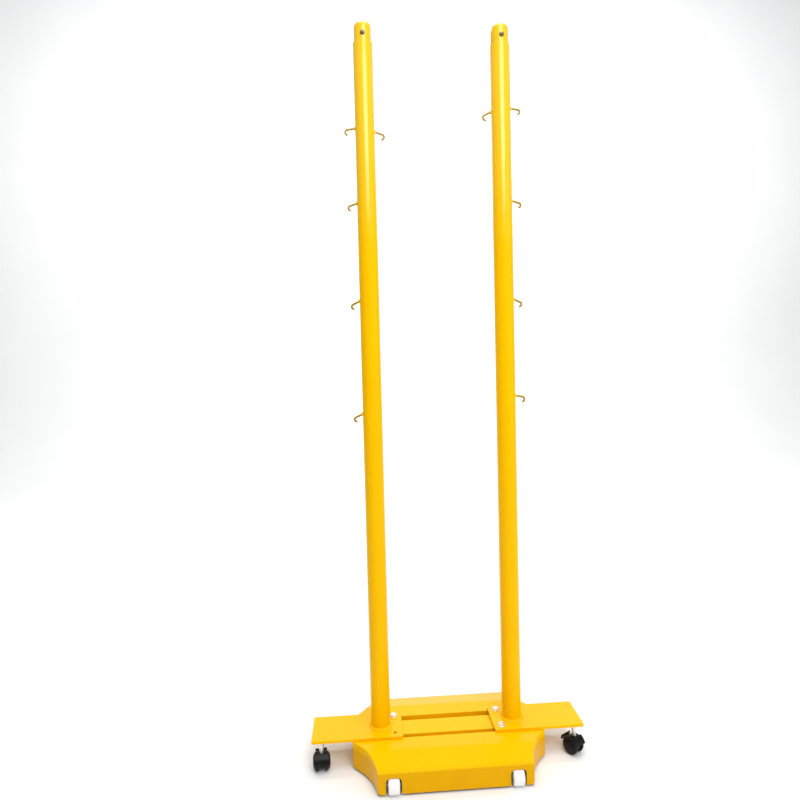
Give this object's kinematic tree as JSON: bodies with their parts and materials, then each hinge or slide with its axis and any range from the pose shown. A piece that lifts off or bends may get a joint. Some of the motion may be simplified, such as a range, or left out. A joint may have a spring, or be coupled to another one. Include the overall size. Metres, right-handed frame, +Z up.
{
  "type": "volleyball net post stand",
  "caption": "Movable net stand with tall twin posts on a wheeled, weighted base; rod hooks and slotted pulley heads carry the net.",
  "frame": {"origin": "on the floor, at the middle of the base between the two posts", "axes": "+Z up along the posts; the posts stand apart along X; the front of the base, with the casters, faces -Y"},
  "size_m": [0.79, 0.38, 2.1],
  "materials": {
    "yellow_enamel": "glossy signal-yellow powder coat",
    "hook_paint": "yellow-brown paint on bent rod",
    "zinc_plate": "bright zinc plate",
    "dark_steel": "black primed sheet steel",
    "cast_iron": "rough cast iron",
    "white_nylon": "white nylon, satin",
    "black_plastic": "moulded black plastic",
    "caster_tread": "black nylon wheel, satin"
  },
  "bodies": {
    "base": {"arm_plate_left": "yellow_enamel", "arm_plate_right": "yellow_enamel", "axle_bolt_front_left": "zinc_plate", "axle_bolt_front_right": "zinc_plate", "axle_bolt_rear_left": "zinc_plate", "axle_bolt_rear_right": "zinc_plate", "axle_nut_front_left": "zinc_plate", "axle_nut_front_right": "zinc_plate", "axle_nut_rear_left": "zinc_plate", "axle_nut_rear_right": "zinc_plate", "ballast_front": "cast_iron", "ballast_rear": "cast_iron", "bottom_plate_front": "dark_steel", "bottom_plate_rear": "dark_steel", "box_shell_front": "yellow_enamel", "box_shell_rear": "yellow_enamel", "caster_stem_left": "zinc_plate", "caster_stem_right": "zinc_plate", "centre_beam": "yellow_enamel", "hook_left_inner": "hook_paint", "hook_left_outer_1": "hook_paint", "hook_left_outer_2": "hook_paint", "hook_left_outer_3": "hook_paint", "hook_left_outer_4": "hook_paint", "hook_right_inner": "hook_paint", "hook_right_outer_1": "hook_paint", "hook_right_outer_2": "hook_paint", "hook_right_outer_3": "hook_paint", "hook_right_outer_4": "hook_paint", "plate_bolt_left_rear": "zinc_plate", "plate_bolt_right_front": "zinc_plate", "plate_bolt_right_rear": "zinc_plate", "post_left": "yellow_enamel", "post_right": "yellow_enamel", "pulley_head_left": "yellow_enamel", "pulley_head_right": "yellow_enamel", "pulley_pin_left": "zinc_plate", "pulley_pin_right": "zinc_plate", "wheel_fork_front_left": "dark_steel", "wheel_fork_front_right": "dark_steel", "wheel_fork_rear_left": "dark_steel", "wheel_fork_rear_right": "dark_steel"},
    "base_wheel_front_left": {"base_wheel_front_left": "white_nylon"},
    "base_wheel_front_right": {"base_wheel_front_right": "white_nylon"},
    "base_wheel_rear_left": {"base_wheel_rear_left": "white_nylon"},
    "base_wheel_rear_right": {"base_wheel_rear_right": "white_nylon"},
    "pulley_left": {"pulley_left": "white_nylon"},
    "pulley_right": {"pulley_right": "white_nylon"},
    "caster_left": {"caster_hood_left": "black_plastic", "caster_axle_left": "zinc_plate"},
    "caster_wheel_left_a": {"caster_wheel_left_a": "caster_tread"},
    "caster_wheel_left_b": {"caster_wheel_left_b": "caster_tread"},
    "brake_left": {"brake_lever_left": "black_plastic"},
    "caster_right": {"caster_hood_right": "black_plastic", "caster_axle_right": "zinc_plate"},
    "caster_wheel_right_a": {"caster_wheel_right_a": "caster_tread"},
    "caster_wheel_right_b": {"caster_wheel_right_b": "caster_tread"},
    "brake_right": {"brake_lever_right": "black_plastic"}
  },
  "joints": [
    {"name": "base_wheel_front_left_spin", "type": "hinge", "parent": "base", "child": "base_wheel_front_left", "pos_m": [-0.168, -0.165, 0.025], "axis": [1, 0, 0], "continuous": true},
    {"name": "base_wheel_front_right_spin", "type": "hinge", "parent": "base", "child": "base_wheel_front_right", "pos_m": [0.168, -0.165, 0.025], "axis": [1, 0, 0], "continuous": true},
    {"name": "base_wheel_rear_left_spin", "type": "hinge", "parent": "base", "child": "base_wheel_rear_left", "pos_m": [-0.168, 0.165, 0.025], "axis": [1, 0, 0], "continuous": true},
    {"name": "base_wheel_rear_right_spin", "type": "hinge", "parent": "base", "child": "base_wheel_rear_right", "pos_m": [0.168, 0.165, 0.025], "axis": [1, 0, 0], "continuous": true},
    {"name": "pulley_left_spin", "type": "hinge", "parent": "base", "child": "pulley_left", "pos_m": [-0.195, 0, 2.064], "axis": [0, 1, 0], "continuous": true},
    {"name": "pulley_right_spin", "type": "hinge", "parent": "base", "child": "pulley_right", "pos_m": [0.195, 0, 2.064], "axis": [0, 1, 0], "continuous": true},
    {"name": "caster_left_swivel", "type": "hinge", "parent": "base", "child": "caster_left", "pos_m": [-0.3665, -0.052, 0.045], "axis": [0, 0, 1], "continuous": true},
    {"name": "caster_wheel_left_a_spin", "type": "hinge", "parent": "caster_left", "child": "caster_wheel_left_a", "pos_m": [-0.36692, -0.04802, 0.025], "axis": [-0.9945, -0.1045, 0], "continuous": true},
    {"name": "caster_wheel_left_b_spin", "type": "hinge", "parent": "caster_left", "child": "caster_wheel_left_b", "pos_m": [-0.36692, -0.04802, 0.025], "axis": [-0.9945, -0.1045, 0], "continuous": true},
    {"name": "brake_left_press", "type": "hinge", "parent": "caster_left", "child": "brake_left", "pos_m": [-0.36849, -0.0331, 0.038], "axis": [-0.9945, -0.1045, 0], "range_deg": [0, 9]},
    {"name": "caster_right_swivel", "type": "hinge", "parent": "base", "child": "caster_right", "pos_m": [0.3665, -0.052, 0.045], "axis": [0, 0, 1], "continuous": true},
    {"name": "caster_wheel_right_a_spin", "type": "hinge", "parent": "caster_right", "child": "caster_wheel_right_a", "pos_m": [0.3645, -0.04854, 0.025], "axis": [-0.866, -0.5, 0], "continuous": true},
    {"name": "caster_wheel_right_b_spin", "type": "hinge", "parent": "caster_right", "child": "caster_wheel_right_b", "pos_m": [0.3645, -0.04854, 0.025], "axis": [-0.866, -0.5, 0], "continuous": true},
    {"name": "brake_right_press", "type": "hinge", "parent": "caster_right", "child": "brake_right", "pos_m": [0.357, -0.03555, 0.038], "axis": [-0.866, -0.5, 0], "range_deg": [0, 9]}
  ]
}
